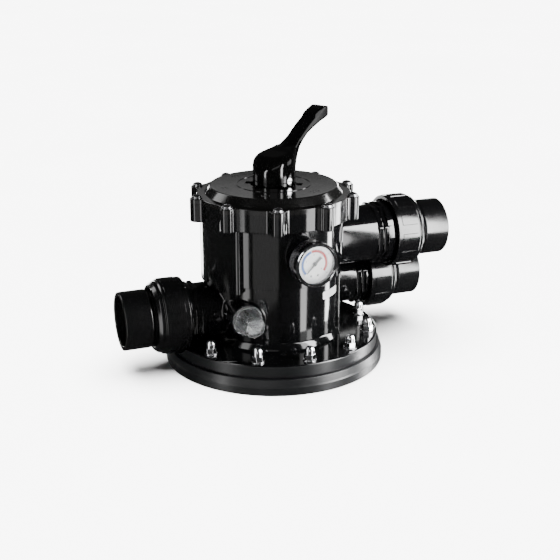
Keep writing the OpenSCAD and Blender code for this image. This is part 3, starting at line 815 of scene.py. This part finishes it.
def build_gauge():
    """Bezel, case and dial print of the gauge."""
    place = gauge_frame()
    r = BEZEL_R
    bezel = [(r - 1.6, -9, 0.3), (r, -9, 0.4), (r, -1.4, 1.0), (r - 1.0, 0, 0.7), (r - 2.1, 0, 0.5),
             (r - 2.7, -1, 0.4), (r - 3.5, -1, 0.3), (r - 4.6, -1.8, 0.3), (r - 4.6, -2.4), (r - 3, -2.4),
             (r - 3, -6), (r - 1.6, -6)]
    turned("bezel_finish", bezel, place, CHROME, "housing", ["gauge_bezel"], segments=128)
    c = r - 1.6
    case = [(5.5, -25, 0.3), (c, -25, 3.0), (c, -6), (c - 1.8, -6), (c - 1.8, -23.2, 1.0), (5.5, -23.2)]
    turned("gauge_case_finish", case, place, CASE_STEEL, "housing", ["gauge_case"], segments=128)
    for name, material, first, last in (("dial_arc_low", DIAL_BLUE, ZERO_TURN, LOW_END),
                                        ("dial_arc_high", DIAL_RED, HIGH_START, ZERO_TURN - SWEEP)):
        bm = bmesh.new()
        flat_arc(bm, place, *ARC, last, first, DIAL_Z)
        finish_piece(name, bm, [material], "housing")
    bm = bmesh.new()
    flat_arc(bm, place, *SCALE_LINE, ZERO_TURN - SWEEP, ZERO_TURN, DIAL_Z)
    for k in range(DIVISIONS + 1):
        turn = ZERO_TURN - SWEEP * k / DIVISIONS
        is_long = k % LONG_EVERY == 0
        half = 0.5 if is_long else 0.28
        end = LONG_MARK if is_long else SHORT_MARK
        flat_arc(bm, place, MARK_START, end, turn - half, turn + half, DIAL_Z, steps=1)
    for k in range(NUMBERED):
        turn = ZERO_TURN - SWEEP * k / (NUMBERED - 1)
        dial_number(bm, place, str(k), INNER_NUMBERS, turn, 3.2)
        dial_number(bm, place, str(15 * k), OUTER_NUMBERS, turn, 2.0)
    finish_piece("dial_scale", bm, [DIAL_BLACK], "housing")


def build_pointer():
    """A flat needle with a broad tail and a round hub, at rest on the dial's zero."""
    place = gauge_frame()
    heights = [(place.inverted() @ (NODES["gauge_pointer"].matrix_world @ v.co)).z
               for v in NODES["gauge_pointer"].data.vertices]
    z0, z1 = min(heights), max(heights)
    needle_z0, needle_z1 = z1 - 0.9 * MM, z1 - 0.4 * MM
    turned_to_zero = place @ Matrix.Rotation(radians(ZERO_TURN), 4, "Z")
    outline = [(x, -half) for x, half in NEEDLE] + [(x, half) for x, half in reversed(NEEDLE)]
    bm = bmesh.new()
    faces = [[bm.verts.new(turned_to_zero @ Vector((x * MM, y * MM, z))) for x, y in outline]
             for z in (needle_z0, needle_z1)]
    bm.faces.new(reversed(faces[0]))
    bm.faces.new(faces[1])
    for k in range(len(outline)):
        m = (k + 1) % len(outline)
        bm.faces.new((faces[0][k], faces[0][m], faces[1][m], faces[1][k]))
    bottom, top = z0 / MM, z1 / MM
    hub = [(0, bottom), (POINTER_HUB_R, bottom), (POINTER_HUB_R, top, 0.3), (0, top)]
    turn_profile(bm, hub, place, segments=32)
    finish_piece("pointer_finish", bm, [DIAL_BLACK], "pointer", ["gauge_pointer"])


build_gauge()
build_pointer()


# ---------- sight glass ----------

def build_sight_glass():
    """The clear window with its flange, as one turned shape."""
    centre = middle("sight_glass_o_ring")
    mouth = low("sight_glass").y + 27.7 * MM
    place = axes_frame(Vector((centre.x, mouth, centre.z)), Vector((1, 0, 0)), UP, Vector((0, -1, 0)))
    corners = [(11.5, -12, 0.3), (14, -12, 0.3), (14, 0), (19.5, 0, 0.4), (19.5, 3.5, 1.0),
               (15.6, 3.5, 0.8), (13.6, 23.5, 0.5), (14.0, 24.2, 0.4), (13.4, 27.7, 1.0), (0, 27.7),
               (0, 25.1), (10, 25.1, 0.8), (11.5, 3.4)]
    turned("sight_glass_finish", corners, place, CLEAR, "housing", ["sight_glass"])


build_sight_glass()


# ---------- label ----------

def build_label():
    """A blank film with round corners, wrapped on the lower body."""
    first, last = radians(-63.5), radians(-40.0)
    corner = 1.2 * MM
    z0, z1 = low("blank_label").z, high("blank_label").z
    inner, outer = LOWER_R - 0.1 * MM, LOWER_R + 0.35 * MM
    steps = 60
    bm = bmesh.new()
    rows = []
    for k in range(steps + 1):
        a = first + (last - first) * k / steps
        edge = min(a - first, last - a) * LOWER_R
        cut = corner - sqrt(max(corner ** 2 - max(corner - edge, 0.0) ** 2, 0.0))
        spots = [(inner, z0 + cut), (outer, z0 + cut), (outer, z1 - cut), (inner, z1 - cut)]
        rows.append([bm.verts.new((r * cos(a), r * sin(a), z)) for r, z in spots])
    for row, following in zip(rows, rows[1:]):
        for j in range(4):
            m = (j + 1) % 4
            bm.faces.new((row[j], row[m], following[m], following[j]))
    bm.faces.new(rows[0])
    bm.faces.new(reversed(rows[-1]))
    finish_piece("label_finish", bm, [LABEL_WHITE], "housing", ["blank_label"])


build_label()


# ---------- floor and light ----------

def build_floor():
    """A wide pale disc under the valve."""
    n = Nodes("floor_paper")
    n.link(n.ramp(n.noise(1.5), [(0.3, (0.84, 0.84, 0.84)), (0.7, (0.88, 0.88, 0.88))]),
           n.shader.inputs["Base Color"])
    n.link(n.span(n.noise(6.0), 0.75, 0.9), n.shader.inputs["Roughness"])
    n.link(n.bump(n.noise(200.0), 0.03, 0.2 * MM), n.shader.inputs["Normal"])
    n.fixed(Specular_IOR_Level=0.1)
    mesh = bpy.data.meshes.new("floor")
    bm = bmesh.new()
    bmesh.ops.create_circle(bm, cap_ends=True, segments=64, radius=30.0)
    bm.to_mesh(mesh)
    bm.free()
    mesh.materials.append(n.material)
    floor = bpy.data.objects.new("floor", mesh)
    bpy.context.scene.collection.objects.link(floor)
    return floor


def light_group(name, members):
    """A collection of the only objects that a light falls on."""
    group = bpy.data.collections.new(name)
    for member in members:
        group.objects.link(member)
    return group


AIM_Z = 0.15


def softbox(name, receivers, turn, distance, height, width, tall, radiance):
    """A rectangular light at a compass turn from the camera's side of the valve, aimed at its middle."""
    view_turn = atan2(CAMERA_PLACE.y, CAMERA_PLACE.x) + radians(turn)
    data = bpy.data.lights.new(name, "AREA")
    data.shape = "RECTANGLE"
    data.size = width
    data.size_y = tall
    data.energy = radiance * pi * width * tall
    box = bpy.data.objects.new(name, data)
    box.location = (distance * cos(view_turn), distance * sin(view_turn), height)
    towards = Vector((0.0, 0.0, AIM_Z)) - box.location
    box.rotation_euler = towards.to_track_quat("-Z", "Y").to_euler()
    box.visible_camera = False
    box.light_linking.receiver_collection = receivers
    bpy.context.scene.collection.objects.link(box)


FLOOR_SUN = 30.0
FLOOR_SUN_ANGLE = radians(70)


def floor_light(receivers):
    """A broad lamp straight above that lights the floor and leaves a soft shadow under the valve."""
    data = bpy.data.lights.new("floor_light", "SUN")
    data.energy = FLOOR_SUN
    data.angle = FLOOR_SUN_ANGLE
    lamp = bpy.data.objects.new("floor_light", data)
    lamp.light_linking.receiver_collection = receivers
    bpy.context.scene.collection.objects.link(lamp)


# The floor is left out of reflections and blocks no lamp, so that black plastic does not mirror it and
# lamps also reach from below its level. The clear pieces block no lamp, so that it is light behind them.
floor = build_floor()
floor.visible_glossy = False
floor.visible_shadow = False
for clear_piece in ("gauge_lens", "sight_glass_finish"):
    bpy.data.objects[clear_piece].visible_shadow = False

pieces = [o for o in bpy.data.objects if o.type == "MESH" and o != floor]


def named(*starts):
    """Pieces whose names start with one of these words."""
    return [piece for piece in pieces if piece.name.startswith(starts)]


pale = named("dial", "gauge_dial", "gauge_lens", "bezel", "pointer_finish", "label", "sight_glass")
not_glossy = pale + named("handle_finish")
glossy_group = light_group("glossy_only", [o for o in pieces if o not in not_glossy])
pale_group = light_group("pale_only", [o for o in pale if o.name != "gauge_lens"])
hub_group = light_group("handle_only", named("handle"))
lid_group = light_group("lid_only", named("lid"))
floor_light(light_group("floor_only", [floor]))

# Name, what it lights, turn in degrees, distance, height, width and tallness in metres, and radiance
SOFTBOXES = [
    ("window_left", glossy_group, -45, 0.42, 0.20, 0.10, 0.70, 7),
    ("window_right", glossy_group, 49, 0.42, 0.20, 0.08, 0.70, 20),
    ("window_union", glossy_group, 64, 0.55, 0.30, 0.14, 0.52, 70),
    ("front_fill", glossy_group, -13, 1.0, 0.10, 0.75, 0.70, 1.1),
    ("back_top", lid_group, 180, 1.5, 0.85, 1.60, 0.50, 0.55),
    ("side_right", glossy_group, 104, 0.7, 0.15, 0.13, 0.90, 46),
    ("hub_left", hub_group, -46, 0.6, 0.22, 0.07, 0.50, 30),
    ("hub_right", hub_group, 44, 0.6, 0.22, 0.10, 0.50, 45),
    ("lever_side", hub_group, 92, 0.9, 0.35, 0.50, 0.50, 3),
    ("lever_front", hub_group, 0, 1.2, 0.70, 0.90, 0.40, 1.5),
    ("back_left", glossy_group, -150, 1.0, 0.02, 0.25, 0.45, 14),
    ("back_right", glossy_group, 160, 1.0, 0.02, 0.30, 0.45, 14),
    ("side_left", glossy_group, -110, 0.8, 0.50, 0.25, 0.80, 6),
    ("fill", pale_group, -32, 1.2, 0.80, 0.70, 0.90, 6.5),
]
for box_name, receivers, *measures in SOFTBOXES:
    softbox(box_name, receivers, *measures)

WORLD_STRENGTH = 0.05

world = bpy.data.worlds.new("studio")
bpy.context.scene.world = world
world.use_nodes = True
world.node_tree.nodes["Background"].inputs["Color"].default_value = (1.0, 1.0, 1.0, 1.0)
world.node_tree.nodes["Background"].inputs["Strength"].default_value = WORLD_STRENGTH
